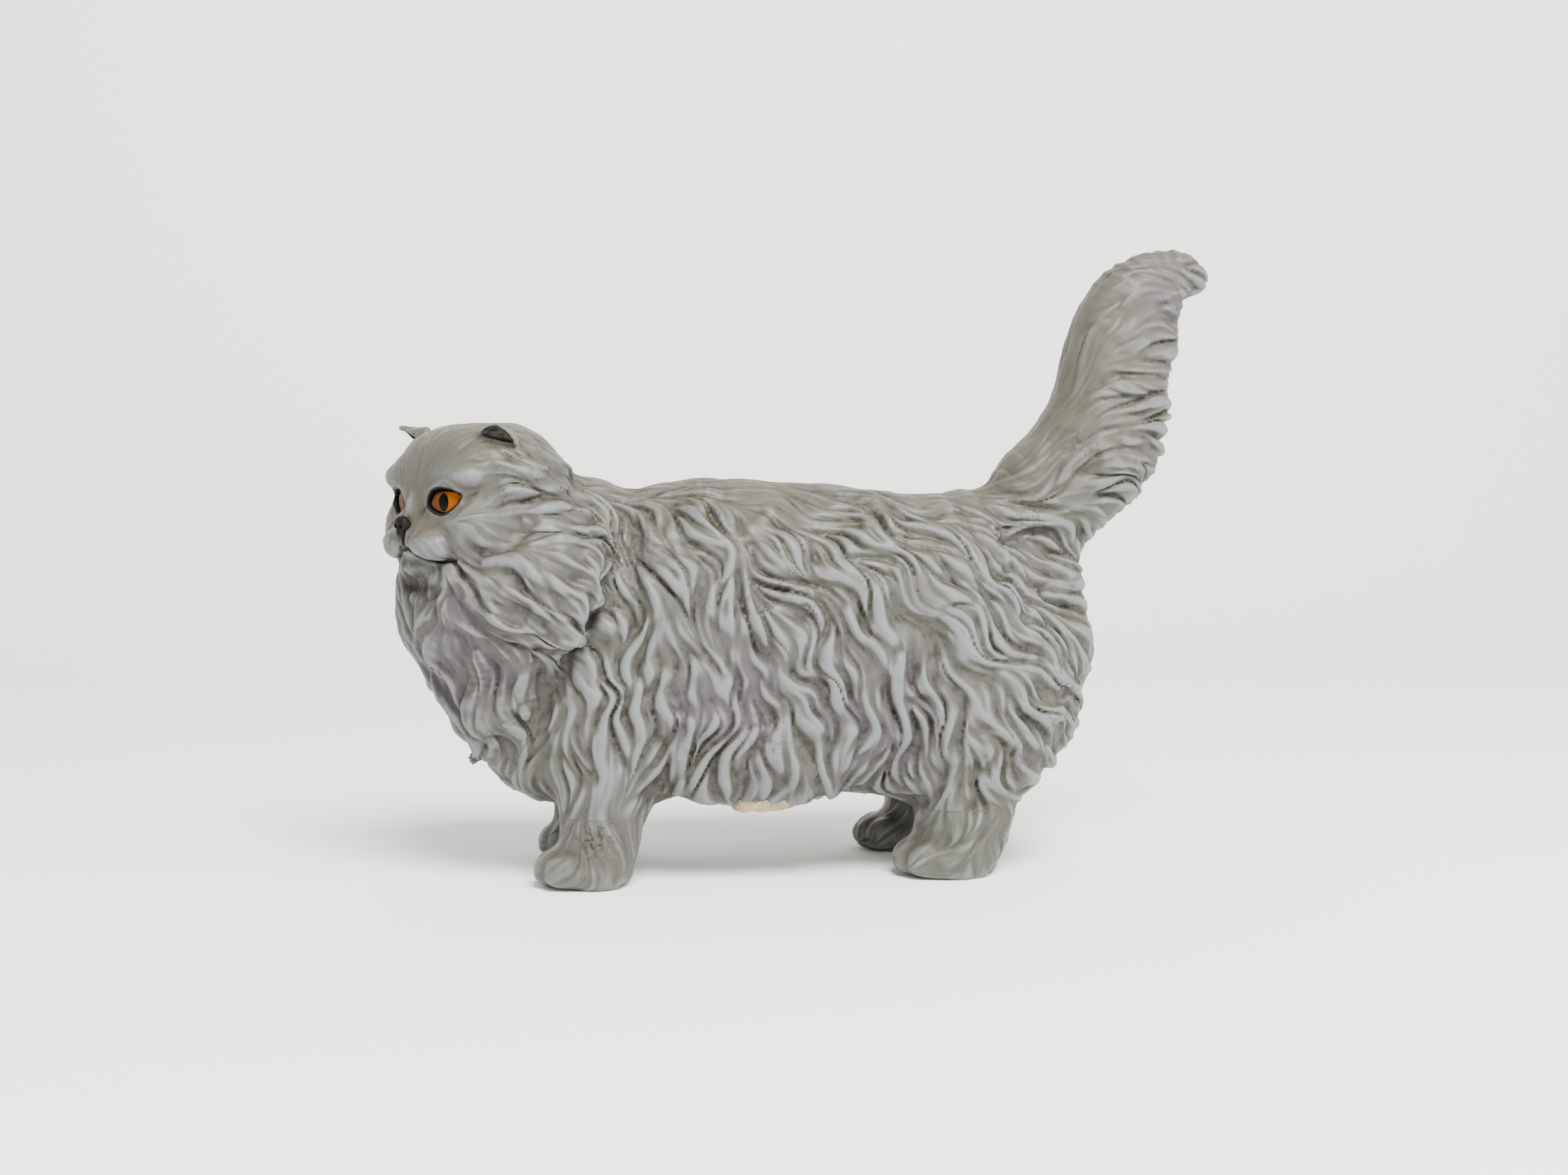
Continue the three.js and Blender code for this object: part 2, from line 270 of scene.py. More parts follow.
class Limb:
    """A rounded form along sections in the XZ plane, squarer below than on top, with blunt ends."""

    LOW, CELL, COUNT = (-85.0, -8.0), 0.5, (341, 253)

    def __init__(self, sections, top=2.2, under=3.0, blunt=4.0):
        self.top, self.under, self.blunt = top, under, blunt
        rows = spline(sections, 4 * len(sections) - 3)
        axes = [low + self.CELL * np.arange(n) for low, n in zip(self.LOW, self.COUNT)]
        grid = grid_points(axes)
        last = len(rows) - 2
        best = np.full(len(grid), np.inf)
        along, up = np.zeros(len(grid)), np.zeros(len(grid))
        for i in range(last + 1):
            way = rows[i + 1, :2] - rows[i, :2]
            size = way @ way
            t = (grid - rows[i, :2]) @ way / size
            t = np.clip(t, -3.0 if i == 0 else 0.0, 4.0 if i == last else 1.0)
            off = grid - rows[i, :2] - t[:, None] * way
            away = (off * off).sum(1)
            nearer = away < best
            best = np.where(nearer, away, best)
            along = np.where(nearer, i + t, along)
            up = np.where(nearer, (way[0] * off[:, 1] - way[1] * off[:, 0]) / math.sqrt(size), up)
        place = np.clip(along, 0, last + 1)
        deep, wide = (np.interp(place, np.arange(last + 2), rows[:, i]) for i in (2, 3))
        end = np.abs(2 * along / (last + 1) - 1) ** blunt
        self.table = np.stack([up, deep, wide, end], 1).reshape(*self.COUNT, 4).astype(np.float32)

    def __call__(self, p, side=0.0):
        up, deep, wide, end = blended(self.table, self.LOW, self.CELL, p[:, ::2]).T
        power = np.where(up < 0, np.float32(self.under), np.float32(self.top))
        across = (np.abs(p[:, 1] - side) / wide) ** power + (np.abs(up) / deep) ** power
        r = (across ** (self.blunt / power) + end) ** (1 / self.blunt)
        return (r - 1) * np.minimum(deep, wide)


TORSO_LIMB, TAIL_LIMB = Limb(TORSO), Limb(TAIL, under=2.2)
SHANKS = {name: Limb(place["shank"], under=2.2) for name, place in LEGS.items()}


def to_head(p):
    """Points in the head's own frame."""
    return (p - HEAD_CENTRE.astype(np.float32)) @ HEAD_AXES.T.astype(np.float32)


def from_head(h):
    return np.asarray(h) @ HEAD_AXES + HEAD_CENTRE


def leg_form(p, shank, toe, side):
    y = side * LEG_SPACING / 2
    f = shank(p, side=y)
    f = join(f, egg(p, (toe + 7.4, y, 2.8), (7.4, 6.2, 4.3)), 1.6)
    for i, offset in enumerate((-4.2, -1.5, 1.5, 4.2)):
        back = 1.5 if i in (0, 3) else 0.0
        f = join(f, egg(p, (toe + 3.2 + back, y + offset, 3.0), (3.2, 1.75, 3.0)), 0.8)
    return cut(f, p[:, 2], 1.6)


def body_form(p):
    f = join(TORSO_LIMB(p), TAIL_LIMB(p), 4)
    f = altered(f, p, (30, 0, 61), (9, 7, 5.4), 3)  # rise of the back to the tail
    for side in (-1, 1):
        f = altered(f, p, (-37.5, side * 9.6, 25), (9.5, 9.6, 19), 5)  # shoulder
        f = altered(f, p, (25.5, side * 10.2, 29), (15, 11.2, 17.5), 6)  # haunch
        f = altered(f, p, (-12, side * 15, 22.5), (19, 5.4, 9.5), 4)  # skirt
    f = altered(f, p, (-48, 0, 26), (9.5, 12, 12), 4)  # chest
    for name, place in LEGS.items():
        off = np.abs(p[:, :2] - (place["toe"] + 12, place["side"] * LEG_SPACING / 2))
        near = np.flatnonzero((p[:, 2] < 34) & (off[:, 0] < 32) & (off[:, 1] < 18))
        f[near] = join(f[near], leg_form(p[near], SHANKS[name], place["toe"], place["side"]), 2)
    return f


SCALLOP, SCALLOP_LENGTH = 0.8, 0.95  # depth and length of the waves in the mane's edge


def mane_form(p):
    f = egg(p, (-48.5, 0, 48.5), (23.8, 23.0, 19))
    edge = np.array(MANE_EDGE)
    scallop = SCALLOP * np.sin(p[:, 2] / SCALLOP_LENGTH + 1.0)
    back = (p[:, 0] - np.interp(p[:, 2], edge[:, 0], edge[:, 1]) - scallop) * 0.85
    f = cut(f, -back, 1.4)
    return join(f, egg(p, (-53.4, -1.2, 35.5), (12.0, 15.0, 15.0)), 3)


# The face's forms in the head's frame, on both sides: (middle, half sizes, how softly they join, how).
FACE = (
    ((9.8, 8.8, -5.4), (4.7, 5.2, 4.6), 3.4, join),  # cheek
    ((11.9, 7.8, 3.3), (3.2, 5.0, 2.5), 2.0, join),  # brow
    ((16.8, 7.2, -1.1), (3.2, 4.8, 2.8), 0.9, cut),  # hollow of the eye
    ((11.9, 0, -7.2), (6.2, 8.0, 5.0), 1.6, join),  # muzzle
    ((13.5, 4.1, -7.7), (4.8, 4.8, 3.2), 0.8, join),  # whisker pad
    ((12.8, 0, -11.7), (4.3, 5.2, 2.3), 0.9, join),  # chin
    ((14.3, 0, -2.4), (2.9, 1.7, 3.6), 0.9, join),  # bridge of the nose
    ((18.2, 1.5, -14.7), (3.4, 6.0, 1.7), 1.2, cut),  # hollow under the chin
)
MOUTH_MIDDLE = (16, 3, -8)
# Lines of the face, from the front: (outwards, up).
MOUTH = ((0, -8.3), (1.3, -8.6), (2.4, -9.5), (4.2, -10.3), (6.4, -10.6), (8.8, -10.3))
PHILTRUM = ((0, -6.0), (0, -8.4))
TEAR = ((3.2, -1.6), (2.5, -2.6))

# The left eye: where its pupil is, how far it turns outwards, the radius of its surface, and its outline
# in its own plane, outwards and upwards from the pupil.
PUPIL = np.array([14.33, 6.42, -0.9])
EYE_TURN = math.radians(21)
EYE_AXES = np.array([[-math.sin(EYE_TURN), math.cos(EYE_TURN), 0], [0, 0, 1],
                     [math.cos(EYE_TURN), math.sin(EYE_TURN), 0]])
EYE_RADIUS = 7.0
LID = 0.45  # how far the eye lies below its lids
ALMOND = ((-3.1, -0.65), (-2.95, 0.5), (-2.2, 1.75), (-0.8, 2.25), (0.6, 2.2), (1.9, 1.95), (2.9, 1.55),
          (3.75, 1.15), (3.1, 0.1), (2.3, -0.8), (1.3, -1.55), (0.1, -2.0), (-1.7, -1.6))


EYE_OUTLINE = catmull_rom(np.roll(ALMOND, 1, axis=0), np.linspace(0, len(ALMOND), 52, endpoint=False)) * 0.97


def eye_distance(uv):
    """Distance from the eye's outline in its plane, below zero inside."""
    closed = np.vstack([EYE_OUTLINE, EYE_OUTLINE[:1]])
    inside = np.zeros(len(uv), bool)
    for (ax, ay), (bx, by) in zip(closed[:-1], closed[1:]):
        crosses = (ay > uv[:, 1]) != (by > uv[:, 1])
        inside ^= crosses & (uv[:, 0] < (bx - ax) * (uv[:, 1] - ay) / (by - ay + 1e-12) + ax)
    away = line_distance(uv, closed)
    return np.where(inside, -away, away)


def eye_socket(m, f):
    """f with the lids around the eye and the opening between them."""
    near = close_to(m, PUPIL, 9)
    q = (m[near] - PUPIL) @ EYE_AXES.T
    ball = np.sqrt(q[:, 0] ** 2 + q[:, 1] ** 2 + (q[:, 2] + EYE_RADIUS) ** 2) - EYE_RADIUS
    outline = eye_distance(q[:, :2])
    lids = join(f[near], ball - LID, 1.2)
    rim = np.maximum(np.abs(outline - 0.35) - 0.3, np.abs(ball - LID) - 0.25)
    lids = join(lids, rim, 0.5)
    opening = np.maximum(outline, -(q[:, 2] + 2.2))
    f[near] = cut(lids, opening, 0.25)
    return f


def face_form(h, f):
    """f with the face's forms, at points h in the head's frame."""
    m = one_sided(h)
    for at, half, k, change in FACE:
        f = altered(f, m, at, half, k, change)
    near = close_to(m, MOUTH_MIDDLE, 10)
    for line, width, depth in ((MOUTH, 0.3, 0.7), (PHILTRUM, 0.4, 0.6)):
        groove = np.maximum(line_distance(m[near, 1:], line) - width, -f[near] - depth)
        f[near] = cut(f[near], groove, 0.5)
    return eye_socket(m, ears_form(m, f))


# An ear, on both sides: its middle, its axes (across, up and out of its opening) and its half sizes.
EAR_MIDDLE = np.array([7.2, 11.6, 9.65])
EAR_AXES = np.array([[-0.70, 0.68, -0.22], [-0.12, 0.19, 0.97], [0.70, 0.71, -0.05]])
EAR_SHELL = (3.1, 2.1)
EAR_HOLLOW = (2.65, 1.65)
EAR_RIDGE = np.array([[-0.1, 1.4, 0.0], [-0.35, 2.15, 2.9]])  # the fold at the top, from the skull to the tip


def ear_tube(q, half):
    """An elliptical tube along the ear's opening, narrower towards it."""
    narrow = 1 - 0.1 * np.clip(q[:, 2], 0, 3)
    return (np.sqrt((q[:, 0] / (half[0] * narrow)) ** 2 + (q[:, 1] / half[1]) ** 2) - 1) * half[1]


def ear_hollow(q):
    """The opening of the ear, at points in its own frame: round above and straight below."""
    return np.maximum(cut(ear_tube(q, EAR_HOLLOW), q[:, 2] + 0.2, 0.5), -0.25 - q[:, 1])


def ears_form(m, f):
    """f with the ears: hoods that stand out from the skull, hollow below."""
    near = close_to(m, EAR_MIDDLE, 10)
    q = (m[near] - EAR_MIDDLE) @ EAR_AXES.T
    ridge = bar(q, *EAR_RIDGE, 0.8, 0.35)
    rim = 0.6 + 1.1 * q[:, 1] - q[:, 2]  # the edge of the opening leans forward
    shell = cut(cut(ear_tube(q, EAR_SHELL), rim, 0.4), q[:, 1] + 0.4, 0.4)
    shell = cut(shell, q[:, 2] + 2.0, 0.4)
    whole = join(join(f[near], shell, 1.0), ridge, 0.5)
    f[near] = cut(whole, ear_hollow(q), 0.3)
    return f


SKULL_FRONT, SKULL_BACK, SKULL_SIDE, SKULL_TOP = 15.9, 11.6, 16.4, 12.3  # half sizes


def head_form(p):
    h = to_head(p)
    half = np.where(h[:, 0] > 0, SKULL_FRONT, SKULL_BACK)
    q = np.stack([h[:, 0] / half, h[:, 1] / SKULL_SIDE, h[:, 2] / SKULL_TOP], 1).astype(np.float32)
    power = 2.1 + 0.9 * np.clip((h[:, 0] + 7) / 12, 0, 1)  # boxy in front, round behind
    r = ((q[:, 0] ** 2 + q[:, 1] ** 2) ** (power / 2) + np.abs(q[:, 2]) ** power) ** (1 / power)
    f = (r - 1) * 13
    f = join(f, egg(p, (-39.5, 0, 53.9), (14.8, 14.5, 14.3)), 4.0)  # nape
    f = join(f, mane_form(p), 2.5)
    return face_form(h, f)


def smooth_form(p):
    """The figurine without its locks: below zero inside and above it outside, roughly in millimetres."""
    p = p.astype(np.float32)
    f = body_form(p)
    near = np.flatnonzero(p[:, 0] < -14)
    f[near] = join(f[near], head_form(p[near]), 1.5)
    return f


# Single locks that stand out, on both sides, as seen from the cat's left: (width, (x, z), ...) from root
# to tip.
LOCKS = (
    # rump, from top to bottom
    (3.2, (42, 53), (46.5, 50), (49.6, 46.6)),
    (3.4, (40, 44), (44.4, 40.4), (48.0, 35.8)),
    (3.2, (39, 36), (42.8, 32.8), (46.6, 28.8)),
    (3.0, (36, 30), (41, 27.4), (45.6, 25.0)),
    (3.0, (34, 24.4), (38, 21.6), (42.2, 18.4)),
    (2.8, (31, 20.4), (35, 17.6), (39.4, 14.2)),
    # back edge of the tail
    (2.6, (59, 82.6), (62.5, 81.6), (64.9, 79.8)),
    (2.8, (58, 77.8), (62, 77.4), (64.6, 76.4)),
    (2.8, (55, 75), (60, 75), (63.8, 73.0)),
    (2.6, (53, 71.5), (58, 71), (61.2, 68.2)),
    (2.6, (50, 67.5), (54.6, 67.2), (57.4, 64.4)),
    # curls of the mane, from top to bottom
    (2.6, (-51.5, 70.7), (-48.2, 70.2), (-45.9, 68.9), (-43.9, 66.6)),
    (2.8, (-49.2, 62.8), (-45.4, 63.8), (-41.6, 65.0), (-38.8, 64.6), (-37.4, 62.4), (-37.9, 60.4)),
    (2.4, (-50.5, 61.3), (-46.7, 60.3), (-42.9, 59.8), (-39.6, 58.7)),
    (2.8, (-49.2, 57.5), (-44.7, 57.7), (-40.9, 57.2), (-38.4, 55.4), (-38.1, 53.2)),
    (2.8, (-56.8, 54.7), (-51.7, 54.7), (-48.0, 52.1), (-44.2, 50.5), (-41.0, 49.6)),
    (3.0, (-61.3, 52.1), (-56.8, 50.3), (-51.8, 48.7), (-46.7, 46.9), (-41.6, 45.3)),
    (3.8, (-63.6, 50.4), (-63.9, 47.4), (-61.6, 44.6), (-57.3, 42.6)),
    (3.0, (-61.3, 51.6), (-57.6, 48.0), (-53.6, 44.4), (-50.2, 41.2), (-49.8, 38.6)),
    (2.8, (-60.2, 51.1), (-59.2, 47.7), (-55.7, 45.1), (-51.1, 42.7)),
    (2.8, (-52.5, 45.2), (-49.9, 43.5), (-46.9, 41.4), (-43.4, 40.8)),
    # layers and tip of the bib
    (5.0, (-59.0, 41.4), (-58.2, 37.6), (-58.2, 33.2)),
    (6.0, (-54.2, 40.0), (-51.4, 36.4), (-50.2, 32.0), (-50.8, 29.2)),
    (4.0, (-54.4, 34.0), (-53.6, 29.6), (-51.2, 26.4)),
    (3.6, (-65.6, 43.6), (-65.8, 39.6), (-64.2, 35.2)),
    (3.6, (-66.6, 36.0), (-64.6, 32.0), (-62.0, 28.6)),
    (7.6, (-59.4, 34), (-58.2, 28.6), (-57.2, 24.6), (-57.8, 21.2)),
    (6.0, (-58.6, 27.5), (-57.6, 23.5), (-58.2, 21.0), (-59.5, 19.6)),
)
LOCK_RELIEF = 0.85  # height of the carving on them
LOCK_STANDS = 1.1  # the most that they stand out


def draped(line, side):
    """A line in the XZ plane laid on one side of the figurine, as points and outward directions."""
    rows = spline(line, 9)
    depths = np.arange(30.0, -0.6, -0.5)
    points = np.stack([np.repeat(rows[:, 0], len(depths)), np.tile(side * depths, len(rows)),
                       np.repeat(rows[:, 1], len(depths))], 1)
    f = smooth_form(points).reshape(len(rows), -1)
    first = np.argmax(f < 0, axis=1)
    inside = (f < 0).any(1)
    i = np.arange(len(rows))
    before = np.maximum(first - 1, 0)
    t = f[i, before] / (f[i, before] - f[i, first] + 1e-6)
    y = np.where(inside, depths[before] - 0.5 * np.clip(t, 0, 1), 1.0)
    points = np.stack([rows[:, 0], side * y, rows[:, 1]], 1)
    slope = np.stack([smooth_form(points + 0.2 * axis) - smooth_form(points - 0.2 * axis) for axis in np.eye(3)], 1)
    return points, slope / (np.linalg.norm(slope, axis=1)[:, None] + 1e-6)


def lock_rows():
    """Each lock's middle line and its radius along it."""
    rows = []
    for width, *line in LOCKS:
        for side in (-1, 1):
            points, out = draped(line, side)
            t = np.linspace(0, 1, len(points))
            radius = width / 2 * (0.3 + 0.7 * np.sin(math.pi * t**0.8)) * (1 - 0.3 * t)
            rise = np.clip(t / 0.3, 0, 1)
            sunk = np.maximum(0.4 * radius, radius - LOCK_STANDS) + 0.9 * (1 - rise) * radius
            rows.append((points - out * sunk[:, None], radius))
    return rows


LOCK_ROWS = lock_rows()


def figure_form(p):
    """The figurine: below zero inside and above it outside, roughly in millimetres."""
    f = smooth_form(p)
    for points, radius in LOCK_ROWS:
        middle = points.mean(0)
        near = close_to(p, middle, np.linalg.norm(points - middle, axis=1).max() + radius.max() + BAND)
        f[near] = join(f[near], bars(p[near], points, radius), 1.1)
    return f


# --- Meshing ---


def sampled(form, low, high, step):
    """The form on a grid, exact near the surface and coarse away from it, closed at the box."""
    ratio = 4
    counts = [int(math.ceil((b - a) / step / ratio)) * ratio + 1 for a, b in zip(low, high)]
    axes = [a + step * np.arange(n) for a, n in zip(low, counts)]
    rough_axes = [axis[::ratio] for axis in axes]
    rough = form(grid_points(rough_axes)).reshape([len(axis) for axis in rough_axes])
    nearest = [np.minimum((np.arange(n) + ratio // 2) // ratio, len(rough_axes[i]) - 1)
               for i, n in enumerate(counts)]
    values = rough[np.ix_(*nearest)].astype(np.float32)
    near = np.abs(values) < step * ratio * 1.6
    i, j, k = np.nonzero(near)
    values[i, j, k] = form(np.stack([axes[0][i], axes[1][j], axes[2][k]], -1))
    for axis in range(3):
        ends = [slice(None)] * 3
        for end in (0, -1):
            ends[axis] = end
            values[tuple(ends)] = np.maximum(values[tuple(ends)], step)
    return values, axes


def surface(values, axes, step):
    """Vertices and quads of the zero surface, by surface nets."""
    shape = np.array(values.shape) - 1
    inside = values < 0
    corners = [(a, b, c) for a in (0, 1) for b in (0, 1) for c in (0, 1)]
    count = sum(inside[a:a + shape[0], b:b + shape[1], c:c + shape[2]].astype(np.int8) for a, b, c in corners)
    cells = np.argwhere((count > 0) & (count < 8))
    index = np.full(shape, -1)
    index[tuple(cells.T)] = np.arange(len(cells))
    total, hits = np.zeros((len(cells), 3)), np.zeros(len(cells))
    for corner in corners:
        for axis in range(3):
            if corner[axis]:
                continue
            a = cells + corner
            b = a.copy()
            b[:, axis] += 1
            fa, fb = values[tuple(a.T)], values[tuple(b.T)]
            crosses = (fa < 0) != (fb < 0)
            t = np.where(crosses, fa / np.where(fa == fb, 1, fa - fb), 0)
            place = np.array(corner, float) + t[:, None] * np.eye(3)[axis]
            total += place * crosses[:, None]
            hits += crosses
    origin = np.array([axis[0] for axis in axes])
    vertices = origin + step * (cells + total / hits[:, None])
    quads = []
    for axis in range(3):
        one, two = (axis + 1) % 3, (axis + 2) % 3
        ahead = [slice(None)] * 3
        behind = [slice(None)] * 3
        ahead[axis], behind[axis] = slice(1, None), slice(None, -1)
        a, b = inside[tuple(behind)], inside[tuple(ahead)]
        for edges, flip in ((a & ~b, False), (~a & b, True)):
            at = np.argwhere(edges)
            at = at[(at[:, one] > 0) & (at[:, two] > 0) & (at[:, one] < shape[one]) & (at[:, two] < shape[two])]
            around = []
            for d1, d2 in ((1, 1), (0, 1), (0, 0), (1, 0)):
                cell = at.copy()
                cell[:, one] -= d1
                cell[:, two] -= d2
                around.append(index[tuple(cell.T)])
            quad = np.stack(around, 1)
            quads.append(quad[:, ::-1] if flip else quad)
    return vertices, np.concatenate(quads)


def refined(vertices, quads):
    """Each quad cut into four."""
    sides = np.stack([quads, np.roll(quads, -1, axis=1)], -1).reshape(-1, 2)
    low, high = sides.min(1), sides.max(1)
    keys, first, back = np.unique(low * len(vertices) + high, return_index=True, return_inverse=True)
    middles = (vertices[low[first]] + vertices[high[first]]) / 2
    edge = (len(vertices) + back).reshape(-1, 4)
    centre = len(vertices) + len(keys) + np.arange(len(quads))
    points = np.concatenate([vertices, middles, vertices[quads].mean(1)])
    parts = [np.stack([quads[:, i], edge[:, i], centre, edge[:, i - 1]], 1) for i in range(4)]
    return points, np.concatenate(parts)


def settle(vertices, form, rounds=2):
    """Moves the vertices onto the form's zero surface."""
    tick = 0.05
    for _ in range(rounds):
        f = form(vertices)
        slope = np.stack([form(vertices + tick * axis) - f for axis in np.eye(3)], 1) / tick
        size = np.maximum((slope * slope).sum(1), 0.2)
        vertices = vertices - np.clip(f / size, -0.6, 0.6)[:, None] * slope
    return vertices


def mesh_of(name, vertices, faces):
    """A Blender mesh from arrays, in metres."""
    mesh = bpy.data.meshes.new(name)
    sides = faces.shape[1]
    mesh.vertices.add(len(vertices))
    mesh.vertices.foreach_set("co", np.asarray(vertices * MM, np.float32).ravel())
    mesh.loops.add(faces.size)
    mesh.loops.foreach_set("vertex_index", faces.astype(np.int32).ravel())
    mesh.polygons.add(len(faces))
    mesh.polygons.foreach_set("loop_start", np.arange(0, faces.size, sides, dtype=np.int32))
    mesh.polygons.foreach_set("use_smooth", np.ones(len(faces), bool))
    mesh.update(calc_edges=True)
    mesh.validate()
    return mesh


def read(mesh, name):
    """The vertices' positions, in metres, or their normals."""
    values = np.empty(len(mesh.vertices) * 3, np.float32)
    mesh.vertices.foreach_get(name, values)
    return values.reshape(-1, 3).astype(float)


def store(mesh, name, values):
    mesh.attributes.new(name, "FLOAT", "POINT").data.foreach_set("value", np.asarray(values, np.float32))


def applied(obj):
    """The object with its modifiers applied to its mesh."""
    graph = bpy.context.evaluated_depsgraph_get()
    made = bpy.data.meshes.new_from_object(obj.evaluated_get(graph), preserve_all_data_layers=True,
                                           depsgraph=graph)
    obj.modifiers.clear()
    old, obj.data = obj.data, made
    bpy.data.meshes.remove(old)
    return obj


def new_object(name, data):
    obj = bpy.data.objects.new(name, data)
    bpy.context.scene.collection.objects.link(obj)
    return obj


# --- Fur ---


def guides():
    """Places, directions and reliefs of the fur, on both sides of the cat."""
    rows = []
    for x, y, z, angle, relief in FUR_BODY:
        a = math.radians(angle)
        for side in (-1, 1):
            rows.append((x, side * y, z, math.cos(a), 0, math.sin(a), relief))
    for x, y, z, angle, relief in FUR_HEAD:
        a = math.radians(angle)
        for side in (-1, 1):
            place = from_head((x, side * y, z))
            way = np.array((-math.cos(a), 0, math.sin(a))) @ HEAD_AXES
            rows.append((*place, *way, relief))
    for points, _ in LOCK_ROWS:
        for a, b in zip(points[:-1:2], points[2::2]):
            rows.append((*((a + b) / 2), *((b - a) / np.linalg.norm(b - a)), LOCK_RELIEF))
    return np.array(rows, np.float32)


class Flow:
    """The fur's direction, its relief and its big locks on a grid around the figurine."""

    STEP = 1.5
    LOW = np.array([-80.0, -30.0, -3.0])
    HIGH = np.array([80.0, 30.0, 114.0])
    NEAR = 5.0  # how far from the surface the grid is filled
    WAVE = 12.5  # length of the waves in the locks
    SWING = 0.42  # how far they turn
    GATHER = 0.4  # how strongly the strands gather on the big locks

    def __init__(self):
        axes = [np.arange(a, b, self.STEP) for a, b in zip(self.LOW, self.HIGH)]
        shape = [len(axis) for axis in axes]
        points = grid_points(axes).astype(np.float32)
        f = figure_form(points)
        near = np.flatnonzero(np.abs(f) < self.NEAR)
        grids = np.gradient(f.reshape(shape), self.STEP)
        normal = np.stack(grids, -1).reshape(-1, 3)[near]
        normal /= np.linalg.norm(normal, axis=1)[:, None] + 1e-6
        points = points[near]
        total, weight = np.zeros((len(points), 4), np.float32), 1e-9
        for row in guides():
            away = ((points - row[:3]) ** 2).sum(1) + 4
            w = 1 / (away * away)
            weight = weight + w
            total += w[:, None] * row[3:]
        total /= weight[:, None]
        way, relief = total[:, :3], total[:, 3:]
        way = self.laid(way, normal)
        on_tail = np.clip((points[:, 2] - 64) / 6, 0, 1) * np.clip((points[:, 0] - 22) / 8, 0, 1)
        along = points @ np.array([0.45, 0, -0.9], np.float32)
        along = along + on_tail * (points @ np.array([1.0, 0, 0.2], np.float32) - along)
        swing = self.SWING * (1 - 0.5 * on_tail)
        turn = swing * np.sin(2 * math.pi * along / self.WAVE + 2.4 * noise(points, 13, 1))
        turn = (turn + 0.18 * noise(points, 5, 7))[:, None]
        way = np.cos(turn) * way + np.sin(turn) * np.cross(normal, way)
        self.table = np.zeros((int(np.prod(shape)), 5), np.float32)
        self.table[near, :3], self.table[near, 3:4] = way, relief
        self.table = self.table.reshape(*shape, 5)
        lock = streaks(points, self, ((4.6, 9.0, 0, False),))[0]
        field = np.zeros(int(np.prod(shape)), np.float32)
        field[near] = lock
        slope = np.stack(np.gradient(field.reshape(shape), self.STEP), -1).reshape(-1, 3)[near]
        slope = np.clip(slope, -0.6, 0.6)
        way = self.laid(way + self.GATHER * slope, normal)
        self.table = self.table.reshape(-1, 5)
        self.table[near, :3], self.table[near, 4] = way, lock
        self.table = self.table.reshape(*shape, 5)

    def laid(self, way, normal):
        """The direction laid flat on the surface, at length one."""
        way = way - (way * normal).sum(1)[:, None] * normal
        return way / (np.linalg.norm(way, axis=1)[:, None] + 1e-6)

    def at(self, points):
        return blended(self.table, self.LOW, self.STEP, points)


def streaks(points, flow, layers, step=0.6):
    """Noise drawn out along the fur. Each layer is (cell, reach, channel, tufted): the size across the
    fur, how far along it the noise is smeared, and whether it swells towards a tip and ends there."""
    totals = [noise(points, cell, channel) * (not tufted) for cell, _, channel, tufted in layers]
    weights = [1.0 - tufted for _, _, _, tufted in layers]
    count = int(max(reach for _, reach, _, _ in layers) / step)
    for sign in (-1, 1):
        place = points.astype(np.float32)
        for n in range(1, count + 1):
            place = place + sign * step * flow.at(place)[:, :3]
            for i, (cell, reach, channel, tufted) in enumerate(layers):
                if n * step > reach or (tufted and sign > 0):
                    continue
                w = n * step / reach if tufted else 0.5 + 0.5 * math.cos(math.pi * n * step / (reach + step))
                totals[i] = totals[i] + w * noise(place, cell, channel)
                weights[i] += w * w
    return [total / math.sqrt(w) for total, w in zip(totals, weights)]


# Layers of streaks, from locks to single hairs, the tufts that they end in, and the mane's broader locks.
STRANDS = ((1.8, 8.5, 2, False), (1.0, 6.0, 3, False), (0.6, 4.0, 4, False), (2.7, 8.5, 1, True),
           (3.0, 10.0, 5, False))


def fur_height(points, flow):
    """How far the fur stands out at each point."""
    _, _, _, relief, lock = flow.at(points).T
    coarse, fine, hair, tuft, broad = streaks(points, flow, STRANDS)
    on_mane = np.clip((-37 - points[:, 0]) / 4, 0, 1) * np.clip((points[:, 2] - 22) / 5, 0, 1)
    coarse = coarse + 0.8 * on_mane * (broad - coarse)
    soft = 0.10 * np.exp(1.3 * noise(points, 7, 5))
    ridge = np.tanh(1.25 * (np.sqrt(coarse**2 + soft) - np.sqrt(soft)))
    strength = np.clip(1 + 0.4 * noise(points, 7, 6), 0.4, 1.6)
    height = (0.9 * ridge + 0.26 * np.tanh(fine) - 0.55) * strength
    height = height + 0.34 * np.tanh(lock) + 0.42 * np.tanh(1.2 * tuft)
    return relief * height + (0.03 + 0.05 * relief) * hair


NARROW, WIDE = 12, 45  # rounds of smoothing, for grooves between strands and for the valleys between locks


def hollows(mesh, points, normals, rounds):
    """How deep each point lies below its smoothed surroundings."""
    edges = np.empty(len(mesh.edges) * 2, np.int32)
    mesh.edges.foreach_get("vertices", edges)
    a, b = edges[::2], edges[1::2]
    size = len(points)
    share = 1 / (np.bincount(a, minlength=size) + np.bincount(b, minlength=size) + 1)
    smooth = points
    for _ in range(rounds):
        parts = []
        for axis in range(3):
            v = smooth[:, axis]
            around = np.bincount(a, v[b], size) + np.bincount(b, v[a], size)
            parts.append((around + v) * share)
        smooth = np.stack(parts, 1)
    return ((smooth - points) * normals).sum(1)


LINE_FAR = 3.0  # beyond this the distance from a painted line doesn't matter


